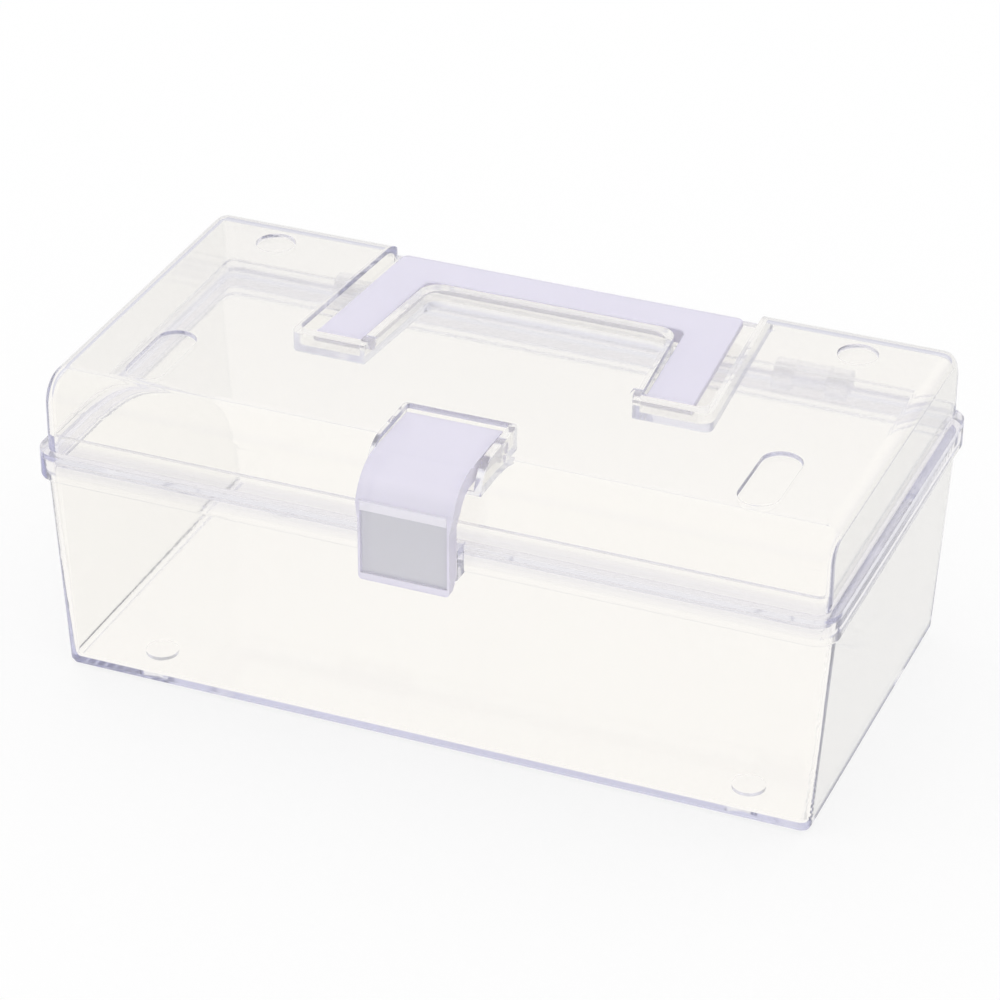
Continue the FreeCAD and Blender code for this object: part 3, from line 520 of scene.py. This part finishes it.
@dataclass
class Latch:
    """The latch, tinted, with painted shade on its bend and on its sunk panel and a painted
    highlight on the ridge above it.

    Lengths are in metres. Heights start at the latch's lower edge, and depths at its front.
    """

    nodes: tuple[str, ...] = ("latch",)
    bend_width: float = 0.035
    bend_heights: Span = (0.019, 0.031)
    bend_depth: float = 0.0041
    bend_soft: float = 0.003
    panel_width: float = 0.0286
    panel_heights: Span = (0.0025, 0.0251)
    ridge_width: float = 0.029
    ridge_heights: Span = (0.0249, 0.0279)
    front_depth: float = 0.0018
    front_soft: float = 0.0003

    def band(self, shade: Shade, width: float, heights: Span, depth: float, soft: float) -> Patch:
        """Place a patch on the latch's front, in its middle.

        Args:
            shade: the shade that shows there.
            width: from side to side.
            heights: its lower and upper edge.
            depth: how far it reaches behind the front.
            soft: how far it fades out.

        Returns:
            The patch.
        """
        corner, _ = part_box(self.nodes[0])
        low = (-width / 2.0, corner.y - depth, corner.z + heights[0])
        high = (width / 2.0, corner.y + depth, corner.z + heights[1])
        return Patch(shade, low, high, soft)

    def dress(self, groups: Groups) -> None:
        """Dress the latch, with its patches of painted shade and highlight laid over the tinted
        plastic.

        Args:
            groups: the shared node groups.
        """
        bend = (self.bend_depth, self.bend_soft)
        front = (self.front_depth, self.front_soft)
        # painted shade on the bend and the sunk panel, and a painted highlight on the ridge
        patches = (
            self.band(Shade.BEND_SHADE, self.bend_width, self.bend_heights, *bend),
            self.band(Shade.PANEL_SHADE, self.panel_width, self.panel_heights, *front),
            self.band(Shade.RIDGE_HIGHLIGHT, self.ridge_width, self.ridge_heights, *front),
        )
        plastic = replace(TINTED_PLASTIC, name="latch_plastic", patches=patches)
        dress_nodes(self.nodes, plastic.material(groups))


@dataclass(frozen=True)
class Glow:
    """An even colour that one kind of ray sees in place of a share of the floor."""

    ray: Ray
    share: float
    colour: Colour


@dataclass
class Studio:
    """The white floor, the soft light and the camera, in metres, degrees and millimetres of lens.

    The sky's stops run from the horizon, at nothing, to straight up, at one.
    """

    floor_reach: float = 6.0
    floor_drop: float = 0.0003
    glows: tuple[Glow, ...] = (
        Glow(Ray.CAMERA, 0.75, WHITE),
        Glow(Ray.GLOSSY, 1.0, (0.85, 0.85, 0.88, 1.0)),
        Glow(Ray.TRANSMISSION, 1.0, (1.0, 0.981, 0.953, 1.0)),
    )
    sky: tuple[tuple[float, Colour], ...] = (
        (0.0, (0.62, 0.62, 0.74, 1.0)),
        (0.35, (0.80, 0.80, 0.89, 1.0)),
        (0.6, WHITE),
    )
    camera_yaw: float = 22.185
    camera_pitch: float = 30.326
    camera_roll: float = 0.234
    camera_place: Place = (0.42048, -1.03528, 0.7105)
    lens: float = 142.723
    sensor_width: float = 36.0

    def build(self) -> None:
        """Add the floor, the light and the camera."""
        self.add_floor()
        self.add_light()
        self.add_camera()

    def add_floor(self) -> None:
        """Add a level square floor, just below the feet."""
        reach = self.floor_reach
        sides = ((-reach, -reach), (reach, -reach), (reach, reach), (-reach, reach))
        mesh = bpy.data.meshes.new("floor")
        mesh.from_pydata([(x, y, -self.floor_drop) for x, y in sides], [], [(0, 1, 2, 3)])
        mesh.materials.append(self.floor_paper())
        floor = bpy.data.objects.new("floor", mesh)
        bpy.context.scene.collection.objects.link(floor)

    def floor_paper(self) -> bpy.types.Material:
        """Build white paper that keeps a shadow and shows as white through clear plastic.

        Returns:
            The floor's material.
        """
        material, tree, principled, output = new_material("floor_paper")
        feed(tree, WHITE, principled.inputs["Base Color"])
        feed(tree, 1.0, principled.inputs["Roughness"])
        feed(tree, 0.0, principled.inputs["Specular IOR Level"])
        path = tree.nodes.new("ShaderNodeLightPath")
        paper = principled.outputs["BSDF"]
        for glow in self.glows:
            light = tree.nodes.new("ShaderNodeEmission")
            feed(tree, glow.colour, light.inputs["Color"])
            feed(tree, 1.0, light.inputs["Strength"])
            share = calculate(tree, MATH, "MULTIPLY", path.outputs[glow.ray.value], glow.share)
            paper = mix_shaders(tree, share, paper, light.outputs["Emission"])
        feed(tree, paper, output.inputs["Surface"])
        return material

    def add_light(self) -> None:
        """Light the box with a soft world.

        The camera and dull surfaces see it white; gloss and clear plastic see the sky,
        which is lilac grey near the horizon.
        """
        world = bpy.data.worlds.new("studio")
        bpy.context.scene.world = world
        world.use_nodes = True
        tree = world.node_tree
        backdrop = tree.nodes["Background"]
        place = tree.nodes.new("ShaderNodeTexCoord")
        axes = tree.nodes.new("ShaderNodeSeparateXYZ")
        ramp = tree.nodes.new("ShaderNodeValToRGB")
        stops = ramp.color_ramp.elements
        stops[0].position, stops[0].color = self.sky[0]
        stops[1].position, stops[1].color = self.sky[-1]
        for position, colour in self.sky[1:-1]:
            stops.new(position).color = colour
        path = tree.nodes.new("ShaderNodeLightPath")
        rays = [path.outputs[ray.value] for ray in (Ray.CAMERA, Ray.DIFFUSE)]
        plain = calculate(tree, MATH, "MAXIMUM", *rays)
        feed(tree, place.outputs["Generated"], axes.inputs["Vector"])
        feed(tree, axes.outputs["Z"], ramp.inputs["Fac"])
        seen = mix_colours(tree, plain, ramp.outputs["Color"], WHITE)
        feed(tree, seen, backdrop.inputs["Color"])
        feed(tree, 1.0, backdrop.inputs["Strength"])

    def add_camera(self) -> None:
        """Place the camera at the photograph's angle."""
        yaw = math.radians(self.camera_yaw)
        pitch = math.radians(self.camera_pitch)
        roll = math.radians(self.camera_roll)
        ahead = Vector((
            -math.sin(yaw) * math.cos(pitch),
            math.cos(yaw) * math.cos(pitch),
            -math.sin(pitch),
        ))
        level = Vector((math.cos(yaw), math.sin(yaw), 0.0))
        upright = level.cross(ahead)
        right = math.cos(roll) * level + math.sin(roll) * upright
        up = -math.sin(roll) * level + math.cos(roll) * upright
        data = bpy.data.cameras.new("camera")
        data.sensor_width = self.sensor_width
        data.lens = self.lens
        camera = bpy.data.objects.new("camera", data)
        turn = Matrix((right, up, -ahead)).transposed()
        camera.matrix_world = Matrix.Translation(self.camera_place) @ turn.to_4x4()
        bpy.context.scene.collection.objects.link(camera)
        bpy.context.scene.camera = camera


def set_scene() -> None:
    """Show colours as they are written, and let light cross many walls of plastic."""
    scene = bpy.context.scene
    scene.view_settings.view_transform = "Standard"
    scene.cycles.max_bounces = MOST_BOUNCES
    scene.cycles.transmission_bounces = MOST_BOUNCES
    scene.cycles.glossy_bounces = MOST_BOUNCES
    scene.cycles.diffuse_bounces = MOST_BOUNCES
    scene.cycles.transparent_max_bounces = MOST_BOUNCES


def main() -> None:
    """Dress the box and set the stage."""
    logging.basicConfig(level=logging.INFO)
    set_scene()
    groups = Groups(haze_group(), box_group())
    for part in (ClearShells(), Handle(), Latch()):
        part.dress(groups)
    Studio().build()


if __name__ == "__main__":
    main()
